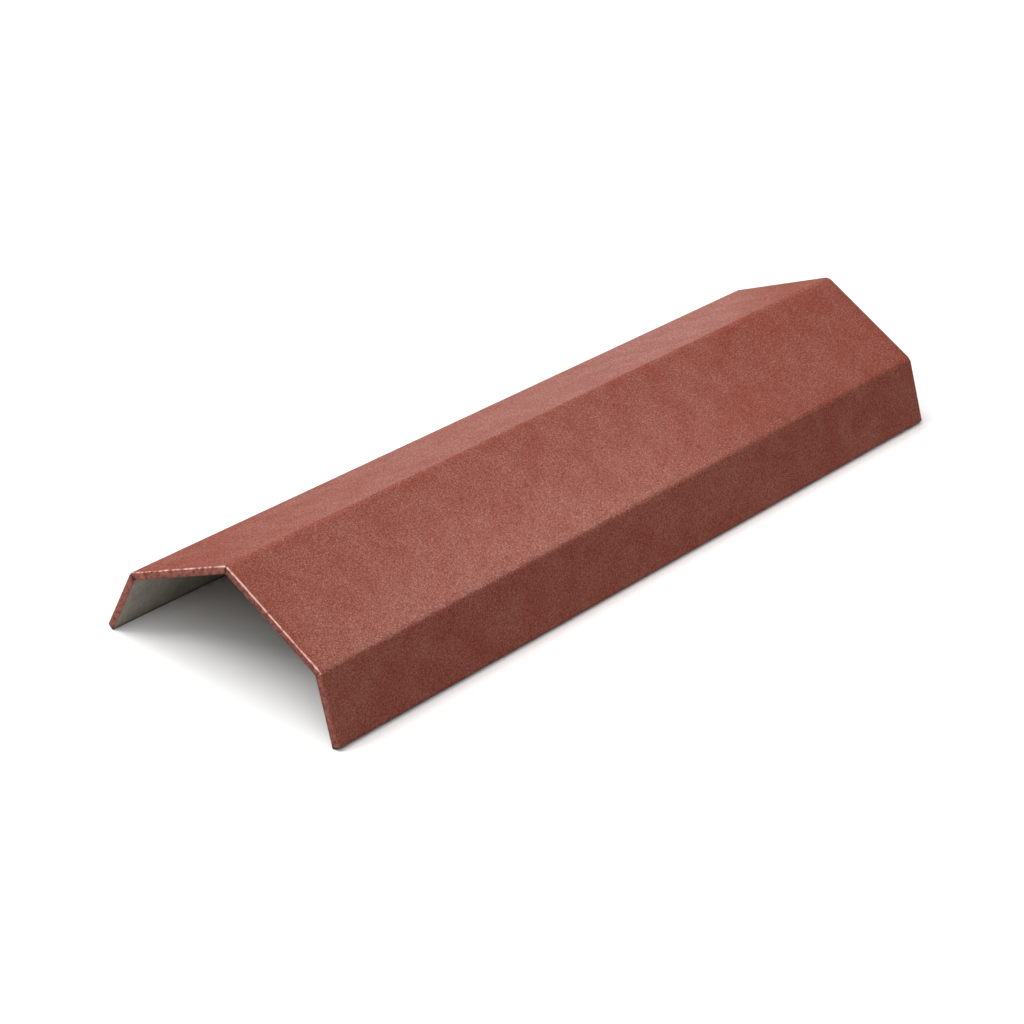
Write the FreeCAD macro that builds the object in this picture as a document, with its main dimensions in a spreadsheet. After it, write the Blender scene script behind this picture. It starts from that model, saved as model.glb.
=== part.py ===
import FreeCAD, Part
import math
import os
import Sketcher

# Roof ridge cap: one board folded along a ridge and two bends, open underneath.
# Its length runs along Y, its section is symmetric about X = 0, and it stands at
# Z = 0 on the inner edges of its two flanges, whose feet are cut square to the board.

doc = FreeCAD.newDocument("ridge_cap")

# Driving sizes, in millimetres and degrees
SIZES = (
    ("cap_length", 600.0),
    ("wing_length", 82.0),
    ("roof_pitch", 26.0),
    ("flange_length", 45.0),
    ("flange_lean", 22.0),
    ("board_thickness", 5.0),
    ("bend_inner_radius", 1.0),
    ("arris_radius", 1.2),
)
sheet = doc.addObject("Spreadsheet::Sheet", "Sizes")
for row, (alias, value) in enumerate(SIZES, start=1):
    sheet.set("A%d" % row, alias)
    sheet.set("B%d" % row, str(value))
    sheet.setAlias("B%d" % row, alias)
doc.recompute()

cap = doc.addObject("PartDesign::Body", "ridge_cap")
cap.Label = "ridge_cap"


def starting_corners():
    """A first guess at the section's ten corners as (X, Z), clockwise from the left outer foot."""
    pitch = math.radians(sheet.roof_pitch)
    lean = math.radians(sheet.flange_lean)
    board = sheet.board_thickness
    bend_x = sheet.wing_length * math.cos(pitch)
    bend_z = sheet.flange_length * math.cos(lean)
    foot_x = bend_x + sheet.flange_length * math.sin(lean)
    ridge_z = bend_z + sheet.wing_length * math.sin(pitch)
    right_outer = [(bend_x, bend_z), (foot_x, 0.0)]
    right_inner = [(foot_x - board, 0.0), (bend_x - board, bend_z - board)]
    left_inner = [(-x, z) for x, z in reversed(right_inner)]
    left_outer = [(-x, z) for x, z in reversed(right_outer)]
    return left_outer + [(0.0, ridge_z)] + right_outer + right_inner + [(0.0, ridge_z - board)] + left_inner


# Section: the lines run clockwise from the left outer foot
FLANGE, WING, WING_RIGHT, FLANGE_RIGHT, FOOT_RIGHT = range(5)
FLANGE_RIGHT_INNER, WING_RIGHT_INNER, WING_INNER, FLANGE_INNER, FOOT = range(5, 10)
START, END = range(1, 3)
MIDDLE_AXIS, LEVEL_AXIS = range(-2, 0)

section = cap.newObject("Sketcher::SketchObject", "section")
upright_plane = [plane for plane in cap.Origin.OriginFeatures if plane.Role == "XZ_Plane"][0]
section.AttachmentSupport = [(upright_plane, "")]
section.MapMode = "FlatFace"

corners = [FreeCAD.Vector(x, z, 0) for x, z in starting_corners()]
for corner, following in zip(corners, corners[1:] + corners[:1]):
    section.addGeometry(Part.LineSegment(corner, following), False)
for line in range(len(corners)):
    section.addConstraint(Sketcher.Constraint("Coincident", line, END, (line + 1) % len(corners), START))

# Both halves are alike, the ridge is on the middle and the inner feet are on the ground
for left, right in (
    ((FLANGE, START), (FLANGE_RIGHT, END)),
    ((FLANGE, END), (FLANGE_RIGHT, START)),
    ((FLANGE_INNER, START), (FLANGE_RIGHT_INNER, END)),
    ((FLANGE_INNER, END), (FLANGE_RIGHT_INNER, START)),
):
    section.addConstraint(Sketcher.Constraint("Symmetric", *left, *right, MIDDLE_AXIS))
section.addConstraint(Sketcher.Constraint("PointOnObject", WING, END, MIDDLE_AXIS))
section.addConstraint(Sketcher.Constraint("PointOnObject", WING_INNER, START, MIDDLE_AXIS))
section.addConstraint(Sketcher.Constraint("PointOnObject", FLANGE_INNER, END, LEVEL_AXIS))

# The inner faces follow the outer ones one board thickness away
section.addConstraint(Sketcher.Constraint("Parallel", FLANGE_INNER, FLANGE))
section.addConstraint(Sketcher.Constraint("Parallel", WING_INNER, WING))
section.addConstraint(Sketcher.Constraint("Perpendicular", FOOT, FLANGE))


def drive(name, constraint, formula):
    """Adds a named constraint to the section and binds it to the sizes."""
    index = section.addConstraint(constraint)
    section.renameConstraint(index, name)
    section.setExpression("Constraints." + name, formula)


drive("wing", Sketcher.Constraint("Distance", WING, sheet.wing_length), "Sizes.wing_length")
drive("flange", Sketcher.Constraint("Distance", FLANGE, sheet.flange_length), "Sizes.flange_length")
drive("foot", Sketcher.Constraint("Distance", FOOT, sheet.board_thickness), "Sizes.board_thickness")
drive(
    "board",
    Sketcher.Constraint("Distance", WING_INNER, START, WING, sheet.board_thickness),
    "Sizes.board_thickness",
)
drive("pitch", Sketcher.Constraint("Angle", WING, math.radians(sheet.roof_pitch)), "Sizes.roof_pitch")
flange_rise = math.radians(90 - sheet.flange_lean)
drive("lean", Sketcher.Constraint("Angle", FLANGE, flange_rise), "90 - Sizes.flange_lean")
doc.recompute()

# Board: the section run along the whole length
board = cap.newObject("PartDesign::Pad", "board")
board.Profile = section
board.SideType = "Symmetric"
board.setExpression("Length", "Sizes.cap_length")
doc.recompute()


def edge_through(feature, line, where, along=0.0):
    """Name of the feature's edge that passes a point of a section line, at a place along the length."""
    segment = section.Geometry[line]
    spot = segment.StartPoint + (segment.EndPoint - segment.StartPoint) * where
    point = Part.Vertex(spot.x, along, spot.y)
    reaches = [edge.distToShape(point)[0] for edge in feature.Shape.Edges]
    return "Edge%d" % (reaches.index(min(reaches)) + 1)


def rounding(name, base, edges, formula):
    """Rounds the named edges of the base feature, with a radius bound to the sizes."""
    fillet = cap.newObject("PartDesign::Fillet", name)
    fillet.Base = (base, edges)
    fillet.setExpression("Radius", formula)
    doc.recompute()
    return fillet


# Folds: inside and outside share a centre, so the board keeps its thickness round them
outer_lines = (WING, WING_RIGHT, FLANGE_RIGHT)
outer_folds = [edge_through(board, line, 0.0) for line in outer_lines]
outer_radius = "Sizes.bend_inner_radius + Sizes.board_thickness"
folds_outside = rounding("folds_outside", board, outer_folds, outer_radius)
inner_lines = (WING_RIGHT_INNER, WING_INNER, FLANGE_INNER)
inner_folds = [edge_through(folds_outside, line, 0.0) for line in inner_lines]
folds_inside = rounding("folds_inside", folds_outside, inner_folds, "Sizes.bend_inner_radius")

# Arrises: the outer edge is eased all round, across both ends and along both feet
half_length = sheet.cap_length / 2
end_edges = [edge_through(folds_inside, WING, 0.5, along) for along in (-half_length, half_length)]
foot_corners = ((FLANGE, 0.0), (FLANGE_RIGHT, 1.0))
foot_edges = [edge_through(folds_inside, line, where) for line, where in foot_corners]
arrises = rounding(
    "arrises",
    folds_inside,
    end_edges + foot_edges,
    "min(Sizes.arris_radius; 0.4 * Sizes.board_thickness)",
)
cap.Tip = arrises
doc.recompute()

for thing in doc.Objects:
    if "Invalid" in thing.State or "Error" in thing.State:
        raise RuntimeError("%s did not build: %s" % (thing.Name, thing.State))
    if hasattr(thing, "Shape") and (thing.Shape.isNull() or not thing.Shape.isValid()):
        raise RuntimeError("%s has no valid shape" % thing.Name)

box = cap.Shape.BoundBox
print("box %.2f x %.2f x %.2f mm, bottom at %.3f mm" % (box.XLength, box.YLength, box.ZLength, box.ZMin))
print("volume %.1f cm3, solids %d" % (cap.Shape.Volume / 1000, len(cap.Shape.Solids)))

os.makedirs("parts", exist_ok=True)
cap.Shape.exportStep("parts/ridge_cap.step")
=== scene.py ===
import bmesh
import bpy
import math
from mathutils import Matrix, Vector, noise


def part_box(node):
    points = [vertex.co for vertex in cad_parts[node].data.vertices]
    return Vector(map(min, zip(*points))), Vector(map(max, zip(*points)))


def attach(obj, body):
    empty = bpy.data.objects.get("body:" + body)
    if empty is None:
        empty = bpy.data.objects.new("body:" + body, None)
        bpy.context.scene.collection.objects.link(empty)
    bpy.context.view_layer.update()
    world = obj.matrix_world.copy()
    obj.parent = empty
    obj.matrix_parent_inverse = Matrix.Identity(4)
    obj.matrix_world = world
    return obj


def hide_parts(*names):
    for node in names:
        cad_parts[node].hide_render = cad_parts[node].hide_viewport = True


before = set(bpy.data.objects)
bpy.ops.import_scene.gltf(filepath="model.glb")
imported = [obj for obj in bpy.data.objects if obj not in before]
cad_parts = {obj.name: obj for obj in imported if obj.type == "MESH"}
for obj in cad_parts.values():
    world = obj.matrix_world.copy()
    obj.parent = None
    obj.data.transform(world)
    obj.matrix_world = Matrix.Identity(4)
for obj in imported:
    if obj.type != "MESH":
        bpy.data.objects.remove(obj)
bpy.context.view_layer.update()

# Ridge cap
# One sheet of fibre cement, pressed over a former while it is damp, into two wings that meet
# at the ridge and two flanges that splay out below the bends. Nothing is joined to it.
low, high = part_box("ridge_cap")
length = high.y - low.y
half_length = length / 2
wing, pitch = 0.082, math.radians(26)
flange, lean = 0.045, math.radians(22)
thickness = 0.005

foot_z = thickness * math.sin(lean)
bend_x = wing * math.cos(pitch)
bend_z = foot_z + flange * math.cos(lean)
foot_x = bend_x + flange * math.sin(lean)
ridge_z = bend_z + wing * math.sin(pitch)

sheet = bmesh.new()
outline = ((-foot_x, foot_z), (-bend_x, bend_z), (0, ridge_z), (bend_x, bend_z), (foot_x, foot_z))
corners = [sheet.verts.new((x, -half_length, z)) for x, z in outline]
front = [sheet.edges.new(pair) for pair in zip(corners, corners[1:])]
drawn = bmesh.ops.extrude_edge_only(sheet, edges=front)["geom"]
far_corners = [part for part in drawn if isinstance(part, bmesh.types.BMVert)]
bmesh.ops.translate(sheet, verts=far_corners, vec=(0, length, 0))
bmesh.ops.recalc_face_normals(sheet, faces=sheet.faces)
if sheet.faces[:][0].normal.z < 0:
    bmesh.ops.reverse_faces(sheet, faces=sheet.faces)

# The three folds, all bent to one radius
COATED, BARE = range(2)
fold_radius, fold_steps = 0.006, 8
sharp_turn = math.radians(20)
bend_half_turn = (math.pi / 2 - lean - pitch) / 2


def eased(edges, reach, steps):
    """Rounds the edges from that far on each side, and gives the new strips, which are coated."""
    strips = bmesh.ops.bevel(
        sheet, geom=edges, offset=reach, offset_type="OFFSET", segments=steps, profile=0.5,
        affect="EDGES", material=-1,
    )["faces"]
    for strip in strips:
        strip.material_index = COATED
    return strips


for at_ridge, half_turn in ((True, pitch), (False, bend_half_turn)):
    folds = [
        edge for edge in sheet.edges
        if len(edge.link_faces) == 2 and edge.calc_length() > half_length
        and edge.calc_face_angle() > sharp_turn and (abs(edge.verts[0].co.x) < thickness) == at_ridge
    ]
    eased(folds, fold_radius * math.tan(half_turn), fold_steps)

# The board's thickness, inwards from the coated face; the back is left bare
end_facing, foot_facing = 0.99, -0.9


def is_end(side):
    """True for a flat sawn end."""
    return abs(side.normal.y) > end_facing


def is_foot(side):
    """True for the flat underside of a foot."""
    return side.normal.z < foot_facing and side.calc_center_median().z < thickness / 2


bmesh.ops.solidify(sheet, geom=sheet.faces[:], thickness=thickness)
bmesh.ops.recalc_face_normals(sheet, faces=sheet.faces)
for side in sheet.faces:
    lengthwise = max(edge.calc_length() for edge in side.edges) > half_length
    side.material_index = BARE if lengthwise and side.normal.z < 0 and not is_foot(side) else COATED

# The arris: eased along the feet and across the ends, and only just broken round the back
arris_radius, arris_steps = 0.0012, 4
back_break = 0.0004
wear_and_highlight = sheet.verts.layers.float.new("arris")
sawn = sheet.verts.layers.float.new("sawn")
painted_crease_shade = sheet.verts.layers.float.new("crease")


def rim(finish, at_end):
    """The edges where the face or the back, whichever has the finish, meets a sawn end or a foot."""
    found = []
    for edge in sheet.edges:
        cut = [side for side in edge.link_faces if is_end(side) or is_foot(side)]
        rest = [side for side in edge.link_faces if side not in cut]
        if len(cut) == 1 and rest[0].material_index == finish and is_end(cut[0]) == at_end:
            found.append(edge)
    return found


eased(rim(COATED, at_end=False), arris_radius, arris_steps)
end_strips = eased(rim(COATED, at_end=True), arris_radius, arris_steps)
# The arrises across the wings' ends are marked for paler rubbed paint: real wear that also stands in for
# a painted highlight.
for strip in end_strips:
    for corner in strip.verts:
        inside = all(side in end_strips for side in corner.link_faces)
        if inside and abs(corner.co.x) < bend_x:
            corner[wear_and_highlight] = 1.0
for side in sheet.faces:
    if is_end(side):
        for corner in side.verts:
            corner[sawn] = 1.0
eased(rim(BARE, at_end=True), back_break, 1)

# The press leaves a fine crease through the thickness at each fold, seen on the sawn ends
# Each crease's hollow is also marked for a darker colour, as painted shade.
crease_width, crease_depth, crease_reach = 0.0013, 0.0008, 0.01
ridge_crease, left_crease, right_crease = 0.9, 1.0, 0.4
well_inside = 0.99
hollow_painted_shade = 1.6
end_lean = 0.3
same_place = 1e-6
creases = [(Vector((0, 0, ridge_z)), Vector((1, 0, 0)), ridge_crease)]
for hand, strength in ((-1, left_crease), (1, right_crease)):
    across = Vector((hand * math.cos(pitch + bend_half_turn), 0, -math.sin(pitch + bend_half_turn)))
    creases.append((Vector((hand * bend_x, 0, bend_z)), across, strength))
for corner, across, strength in creases:
    for shift in (-crease_width / 2, 0, crease_width / 2):
        everything = sheet.verts[:] + sheet.edges[:] + sheet.faces[:]
        bmesh.ops.bisect_plane(
            sheet, geom=everything, dist=same_place, plane_co=corner + across * shift, plane_no=across,
        )
sheet.normal_update()


def on_end(vert):
    """True for a vertex of the coated ends and their arrises, away from the bare back."""
    coated = all(side.material_index == COATED for side in vert.link_faces)
    return coated and abs(vert.normal.y) > end_lean


for corner, across, strength in creases:
    for vert in sheet.verts:
        aside = abs((vert.co - corner).dot(across)) / (crease_width / 2)
        if aside < well_inside and abs(vert.co.x - corner.x) < crease_reach and on_end(vert):
            vert.co -= vert.normal * crease_depth * strength * (1 - aside)
            vert[painted_crease_shade] = strength * min(1.0, hollow_painted_shade * (1 - aside))

# Divisions fine enough for the board's own unevenness
length_cuts, wing_cuts, flange_cuts = 149, 51, 27
least_share, most_share = 0.75, 1.2
slight_run = 0.0001


def run(edge):
    """How far an edge runs along the length."""
    return abs(edge.verts[0].co.y - edge.verts[1].co.y)


lengthwise = [edge for edge in sheet.edges if run(edge) > half_length]
bmesh.ops.subdivide_edges(sheet, edges=lengthwise, cuts=length_cuts, use_grid_fill=True)
for leg, cuts in ((wing, wing_cuts), (flange, flange_cuts)):
    across_leg = [
        edge for edge in sheet.edges
        if run(edge) < slight_run and least_share < edge.calc_length() / leg < most_share
    ]
    bmesh.ops.subdivide_edges(sheet, edges=across_leg, cuts=cuts, use_grid_fill=True)
sheet.normal_update()

# The unevenness: long waves, ripples, beads on the worn arris, and a pore in the left bend's inner corner
wave_x, wave_y, wave_z, wave_depth = 0.05, 0.09, 0.05, 0.00004
ripple_size, ripple_depth, ripple_start = 0.011, 0.00002, Vector((7, 3, 1))
bead_size, bead_depth, bead_start = 0.0028, 0.00012, Vector((2, 9, 4))
wear_and_highlight_at_ridge, wear_and_highlight_loss_to_right, wear_and_highlight_on_left = 0.92, 0.14, 0.70
ridge_reach = 0.004
leg_paleness = ((-bend_x, 1.0), (0, 0.8), (bend_x, 0.55), (math.inf, 0.8))
pore_radius, pore_depth = 0.0016, 0.0008
inner_reach = thickness / math.cos(bend_half_turn)
inward = Vector((math.sin(pitch + bend_half_turn), 0, -math.cos(pitch + bend_half_turn)))
pore = Vector((-bend_x, -half_length, bend_z)) + inward * inner_reach
lowered = []
for vert in sheet.verts:
    place = vert.co
    wave = noise.noise(Vector((place.x / wave_x, place.y / wave_y, place.z / wave_z)))
    ripple = noise.noise(place / ripple_size + ripple_start)
    bead = noise.noise(place / bead_size + bead_start)
    # The worn arris is drawn strongest near the ridge, weaker to the right and on the left wing, as wear
    # and painted highlight.
    if place.x > -ridge_reach:
        vert[wear_and_highlight] *= wear_and_highlight_at_ridge - wear_and_highlight_loss_to_right * place.x / bend_x
    else:
        vert[wear_and_highlight] *= wear_and_highlight_on_left
    # Each leg's sawn end is drawn at its own paleness: palest on the left flange, darkest on the right
    # wing.
    vert[sawn] *= next(paleness for edge_x, paleness in leg_paleness if place.x < edge_x)
    depth = wave_depth * (1 + wave) + ripple_depth * (1 + ripple) + bead_depth * vert[wear_and_highlight] * (1 + bead)
    # The pore is pressed in and also marked for a darker colour, as painted shade.
    in_pore = max(0.0, 1 - (place - pore).length / pore_radius)
    if in_pore > 0 and on_end(vert):
        depth += pore_depth * in_pore
        vert[painted_crease_shade] = max(vert[painted_crease_shade], min(1.0, hollow_painted_shade * in_pore))
    lowered.append((vert, vert.normal * depth))
for vert, depth in lowered:
    vert.co -= depth

sharp_edge = math.radians(35)
board_mesh = bpy.data.meshes.new("ridge_cap_board")
sheet.to_mesh(board_mesh)
sheet.free()
board_mesh.polygons.foreach_set("use_smooth", [True] * len(board_mesh.polygons))
board_mesh.set_sharp_from_angle(angle=sharp_edge)
board = bpy.data.objects.new("ridge_cap_board", board_mesh)
bpy.context.scene.collection.objects.link(board)


# The nodes that the finishes are mixed from
def feed(tree, socket, value):
    """Links a socket to another node's output, or sets it to a plain number or colour."""
    if isinstance(value, bpy.types.NodeSocket):
        tree.links.new(value, socket)
    elif isinstance(value, tuple):
        socket.default_value = (*value, 1)
    else:
        socket.default_value = value


def ranged(tree, source, span, result):
    """The source's values, with their span stretched or squeezed to the span of the result."""
    node = tree.nodes.new("ShaderNodeMapRange")
    for names, ends in ((("From Min", "From Max"), span), (("To Min", "To Max"), result)):
        for name, end in zip(names, ends):
            node.inputs[name].default_value = end
    tree.links.new(source, node.inputs["Value"])
    return node.outputs["Result"]


def worked_out(tree, operation, *terms):
    """What the operation makes of its terms."""
    node = tree.nodes.new("ShaderNodeMath")
    node.operation = operation
    for socket, term in zip(node.inputs, terms):
        feed(tree, socket, term)
    return node.outputs["Value"]


def toned(tree, under, over, amount, way="MIX"):
    """One colour laid over another by an amount from 0 to 1."""
    node = tree.nodes.new("ShaderNodeMix")
    node.data_type = "RGBA"
    node.blend_type = way
    for name, value in (("A", under), ("B", over), ("Factor", amount)):
        feed(tree, node.inputs[name], value)
    return node.outputs["Result"]


def graded(tree, source, *stops):
    """A colour that runs from one stop to the next, each a value of the source and its colour."""
    node = tree.nodes.new("ShaderNodeValToRGB")
    for element, (value, colour) in zip(node.color_ramp.elements, stops):
        element.position = value
        element.color = (*colour, 1)
    tree.links.new(source, node.inputs["Fac"])
    return node.outputs["Color"]


def clouds(tree, where, scale, detail, roughness=0.5, distortion=0.0):
    """Cloudy values from 0 to 1, finer with a greater scale."""
    node = tree.nodes.new("ShaderNodeTexNoise")
    settings = {"Scale": scale, "Detail": detail, "Roughness": roughness, "Distortion": distortion}
    for name, value in settings.items():
        feed(tree, node.inputs[name], value)
    tree.links.new(where, node.inputs["Vector"])
    return node.outputs["Fac"]


def marked(tree, name):
    """The value that each vertex of the board carries under that name."""
    node = tree.nodes.new("ShaderNodeAttribute")
    node.attribute_name = name
    return node.outputs["Fac"]


def embossed(tree, height, strength, distance):
    """Relief from a height."""
    node = tree.nodes.new("ShaderNodeBump")
    node.inputs["Strength"].default_value = strength
    node.inputs["Distance"].default_value = distance
    tree.links.new(height, node.inputs["Height"])
    return node.outputs["Normal"]


# Grain of the pressed cement, shared by the coating and the bare back, and painted shade at the feet,
# darker towards the bottom
clump_scale = 320.0
foot_shade_full_z, foot_shade_none_z, foot_shade_most = 0.0012, 0.0028, 0.85
grain = bpy.data.node_groups.new("pressed_grain", "ShaderNodeTree")
for name in ("Patch scale", "Grain scale"):
    grain.interface.new_socket(name, in_out="INPUT", socket_type="NodeSocketFloat")
for name in ("Patches", "Grain", "Clumps", "Painted foot shade"):
    grain.interface.new_socket(name, in_out="OUTPUT", socket_type="NodeSocketFloat")
inlet = grain.nodes.new("NodeGroupInput")
outlet = grain.nodes.new("NodeGroupOutput")
where = grain.nodes.new("ShaderNodeTexCoord").outputs["Object"]
patches = clouds(grain, where, inlet.outputs["Patch scale"], detail=3.0, roughness=0.55)
leather = clouds(grain, where, inlet.outputs["Grain scale"], detail=1.0, distortion=1.0)
clumps = clouds(grain, where, clump_scale, detail=1.0)
boldness = ranged(grain, patches, (0.35, 0.65), (0.82, 1.28))
swing = worked_out(grain, "SUBTRACT", leather, 0.5)
raised = worked_out(grain, "MULTIPLY_ADD", swing, boldness, 0.5)
height = grain.nodes.new("ShaderNodeSeparateXYZ")
grain.links.new(where, height.inputs["Vector"])
painted_foot_shade = ranged(grain, height.outputs["Z"], (foot_shade_full_z, foot_shade_none_z), (foot_shade_most, 0.0))
for name, value in (("Patches", patches), ("Grain", raised), ("Clumps", clumps), ("Painted foot shade", painted_foot_shade)):
    grain.links.new(value, outlet.inputs[name])


def pressed_grain(tree, patch_scale, grain_scale):
    """The grain's outputs in a material, at its own scales."""
    node = tree.nodes.new("ShaderNodeGroup")
    node.node_tree = grain
    node.inputs["Patch scale"].default_value = patch_scale
    node.inputs["Grain scale"].default_value = grain_scale
    return node.outputs


# Coating: oxide-red and matte, mottled on the sawn ends, paler on raised grain and worn arrises
# The pale specks and worn arrises are partly painted glints and highlight; the grain's hollows, creases,
# pore and feet carry painted shade.
deep_red, light_red = (0.245, 0.0527, 0.0339), (0.281, 0.0818, 0.0566)
end_brown, end_red = (0.163, 0.050, 0.039), (0.330, 0.112, 0.086)
speck_and_glint_pink, rubbed_and_highlight_pink = (0.565, 0.246, 0.191), (0.72, 0.44, 0.385)
crease_painted_shade, foot_shade_brown = (0.035, 0.014, 0.012), (0.05, 0.032, 0.026)
end_paleness = 0.35
coating = bpy.data.materials.new("red_coating")
coating.use_nodes = True
tree = coating.node_tree
shader = tree.nodes["Principled BSDF"]
shader.inputs["Specular IOR Level"].default_value = 0.0
shader.inputs["Coat Roughness"].default_value = 0.40
pressed = pressed_grain(tree, patch_scale=45.0, grain_scale=1250.0)
colour = graded(tree, pressed["Patches"], (0.32, deep_red), (0.68, light_red))
end = marked(tree, "sawn")
end_clumps = worked_out(tree, "MULTIPLY_ADD", end, end_paleness, pressed["Clumps"])
end_colour = graded(tree, end_clumps, (0.62, end_brown), (0.94, end_red))
colour = toned(tree, colour, end_colour, ranged(tree, end, (0.0, 0.5), (0.0, 1.0)))
# Darker in the grain's hollows: grain tone, partly painted shade
pit_tone_and_shade = ranged(tree, pressed["Grain"], (0.25, 0.55), (0.74, 1.0))
blotches = ranged(tree, pressed["Clumps"], (0.3, 0.7), (0.95, 1.05))
colour = toned(tree, colour, worked_out(tree, "MULTIPLY", pit_tone_and_shade, blotches), 1.0, way="MULTIPLY")
# Paler specks on raised grain: grain tone, partly painted glints
specks_and_glints = ranged(tree, pressed["Grain"], (0.46, 0.76), (0.0, 0.46))
colour = toned(tree, colour, speck_and_glint_pink, specks_and_glints)
# Paler rubbed paint on the worn arrises: wear, and partly a painted highlight
rubbing_and_highlight = worked_out(tree, "ADD", marked(tree, "arris"), pressed["Clumps"])
colour = toned(tree, colour, rubbed_and_highlight_pink, ranged(tree, rubbing_and_highlight, (1.05, 1.35), (0.0, 1.0)))
# Painted shade in the creases and the pore
colour = toned(tree, colour, crease_painted_shade, marked(tree, "crease"))
# Painted shade along the feet, darker towards the bottom
colour = toned(tree, colour, foot_shade_brown, pressed["Painted foot shade"])
dullness = ranged(tree, pressed["Grain"], (0.3, 0.7), (0.75, 0.5))
shine = ranged(tree, pressed["Grain"], (0.35, 0.65), (0.03, 0.19))
tree.links.new(colour, shader.inputs["Base Color"])
tree.links.new(dullness, shader.inputs["Roughness"])
tree.links.new(shine, shader.inputs["Coat Weight"])
relief = embossed(tree, pressed["Grain"], strength=1.0, distance=0.0003)
tree.links.new(relief, shader.inputs["Normal"])

# Back: bare cement, dull, with grey patches, flecks, a sandy grain and painted shade along the feet
dark_grey, pale_grey = (0.312, 0.275, 0.230), (0.401, 0.364, 0.311)
foot_shade_grey = (0.13, 0.11, 0.09)
bare = bpy.data.materials.new("bare_cement")
bare.use_nodes = True
tree = bare.node_tree
shader = tree.nodes["Principled BSDF"]
shader.inputs["Roughness"].default_value = 0.85
pressed = pressed_grain(tree, patch_scale=70.0, grain_scale=900.0)
colour = graded(tree, pressed["Patches"], (0.3, dark_grey), (0.7, pale_grey))
flecks = ranged(tree, pressed["Clumps"], (0.3, 0.7), (0.92, 1.08))
sand = ranged(tree, pressed["Grain"], (0.3, 0.7), (0.88, 1.12))
colour = toned(tree, colour, worked_out(tree, "MULTIPLY", flecks, sand), 1.0, way="MULTIPLY")
# Painted shade along the feet, darker towards the bottom
colour = toned(tree, colour, foot_shade_grey, pressed["Painted foot shade"])
tree.links.new(colour, shader.inputs["Base Color"])
relief = embossed(tree, pressed["Grain"], strength=0.4, distance=0.0003)
tree.links.new(relief, shader.inputs["Normal"])

board_mesh.materials.append(coating)
board_mesh.materials.append(bare)
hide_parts("ridge_cap")
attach(board, "root")

# Floor
# A plain sheet of paper under the cap, wide enough to fill the picture. It takes the cap's shadow,
# looks white, and throws back less light than it shows.
floor_size = 6.0
paper_as_seen, paper_as_light = (0.99, 0.99, 0.99), (0.52, 0.52, 0.52)
ground = bmesh.new()
bmesh.ops.create_grid(ground, x_segments=1, y_segments=1, size=floor_size)
floor_mesh = bpy.data.meshes.new("floor")
ground.to_mesh(floor_mesh)
ground.free()
floor = bpy.data.objects.new("floor", floor_mesh)
bpy.context.scene.collection.objects.link(floor)
paper = bpy.data.materials.new("white_paper")
paper.use_nodes = True


def looked_at(tree):
    """A value of 1 where the camera looks, also by way of gloss or glass, and of 0 for other light."""
    path = tree.nodes.new("ShaderNodeLightPath")
    seen = path.outputs["Is Camera Ray"]
    for way in ("Is Glossy Ray", "Is Transmission Ray"):
        seen = worked_out(tree, "MAXIMUM", seen, path.outputs[way])
    return seen


tree = paper.node_tree
shader = tree.nodes["Principled BSDF"]
shader.inputs["Roughness"].default_value = 0.9
tree.links.new(toned(tree, paper_as_light, paper_as_seen, looked_at(tree)), shader.inputs["Base Color"])
floor_mesh.materials.append(paper)

# Light
# A plain studio: three soft lamps side by side high on the left, a wider one at the front right, and
# faint even light from surroundings that look white. Two strips, one above the right wing and one low
# behind on the left, only add gloss.


def hung(name, kind, towards, strength):
    """A lamp that shines on the cap from that side."""
    lamp = bpy.data.objects.new(name, bpy.data.lights.new(name, kind))
    lamp.data.energy = strength
    lamp.rotation_mode = "QUATERNION"
    lamp.rotation_quaternion = Vector(towards).to_track_quat("Z", "Y")
    bpy.context.scene.collection.objects.link(lamp)
    return lamp


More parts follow.
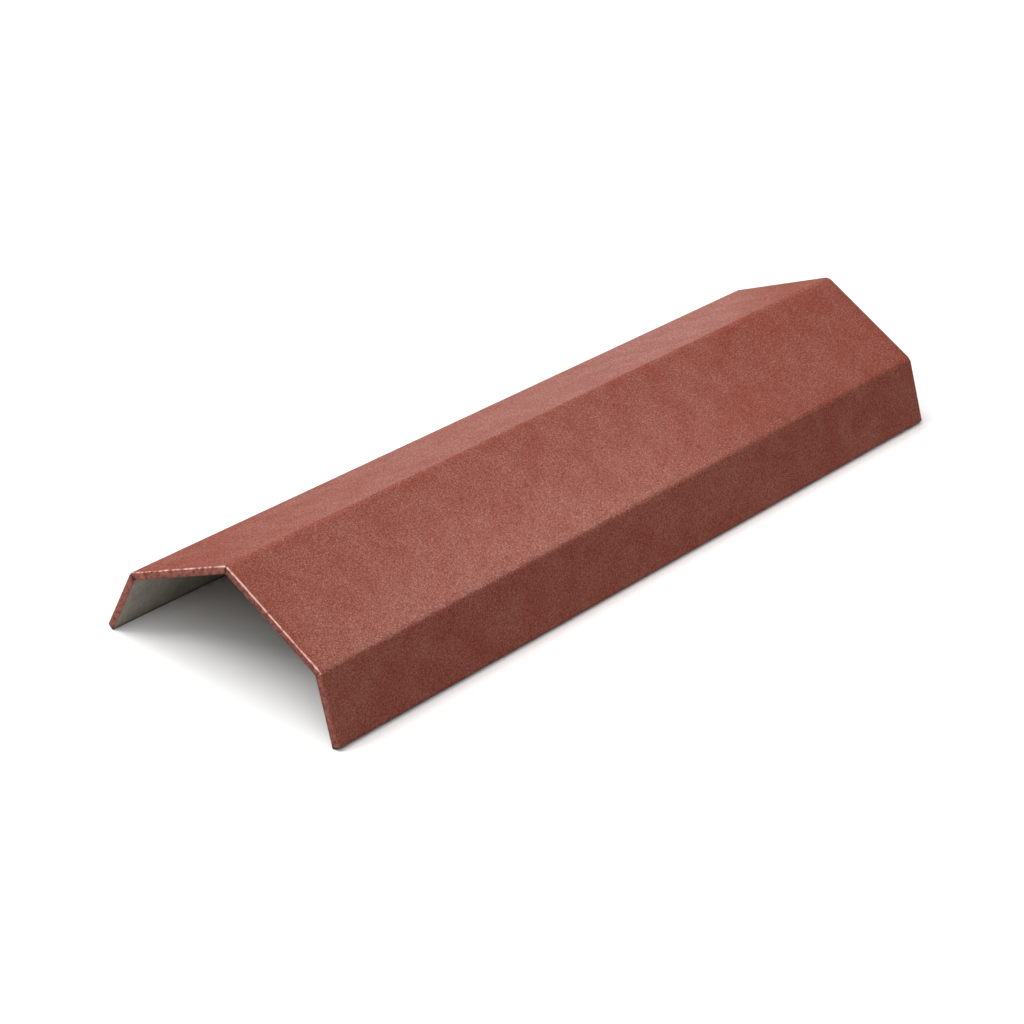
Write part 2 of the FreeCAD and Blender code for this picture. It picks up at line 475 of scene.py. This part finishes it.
soft_lamps = (
    ("left_front", (-0.43, -0.53, 0.74), 0.98, 23),
    ("left_top", (-0.44, -0.22, 0.87), 0.98, 23),
    ("left_back", (-0.43, 0.06, 0.90), 0.98, 23),
    ("front", (0.30, -0.55, 0.78), 1.06, 45),
)
for name, towards, strength, spread in soft_lamps:
    lamp = hung(name, "SUN", towards, strength)
    lamp.data.angle = math.radians(spread)
strips = (
    ("strip_right", (0, 0, 1), 7.4, (0.205, 0.07, 0.26), (0.30, 0.45), (1.0, 0.76, 0.70)),
    ("strip_left", (-0.755, 0.656, 0), 1.1, (-0.46, 0.40, 0.05), (0.46, 0.12), (1.0, 1.0, 1.0)),
)
for name, towards, strength, place, (width, depth), tint in strips:
    lamp = hung(name, "AREA", towards, strength)
    lamp.data.shape = "RECTANGLE"
    lamp.data.size, lamp.data.size_y = width, depth
    lamp.data.color = tint
    lamp.location = place
    lamp.visible_diffuse = False
    lamp.visible_camera = False
room_as_light, room_as_seen = 0.20, 1.0
room = bpy.data.worlds.new("studio")
bpy.context.scene.world = room
room.use_nodes = True
tree = room.node_tree
backdrop = tree.nodes["Background"]
backdrop.inputs["Color"].default_value = (1, 1, 1, 1)
room_level = ranged(tree, looked_at(tree), (0.0, 1.0), (room_as_light, room_as_seen))
tree.links.new(room_level, backdrop.inputs["Strength"])
bpy.context.scene.view_settings.view_transform = "Standard"

# Camera
# A long lens, looking down on the near end from the front right, as in the photograph. It is
# rolled by a few degrees to fit the photograph's slant.
eye = Vector((0.96641, -1.34113, 0.89155))
aim = Vector((-0.01981, -0.01454, 0.00028))
roll = math.radians(5.531)
back = (eye - aim).normalized()
right = Vector((0, 0, 1)).cross(back).normalized()
upright = back.cross(right)
rolled_right = right * math.cos(roll) + upright * math.sin(roll)
rolled_up = upright * math.cos(roll) - right * math.sin(roll)
turned = Matrix((rolled_right, rolled_up, back)).transposed()
camera = bpy.data.cameras.new("camera")
camera.lens = 103.917
camera.sensor_width = 36.0
camera_object = bpy.data.objects.new("camera", camera)
camera_object.matrix_world = Matrix.Translation(eye) @ turned.to_4x4()
bpy.context.scene.collection.objects.link(camera_object)
bpy.context.scene.camera = camera_object
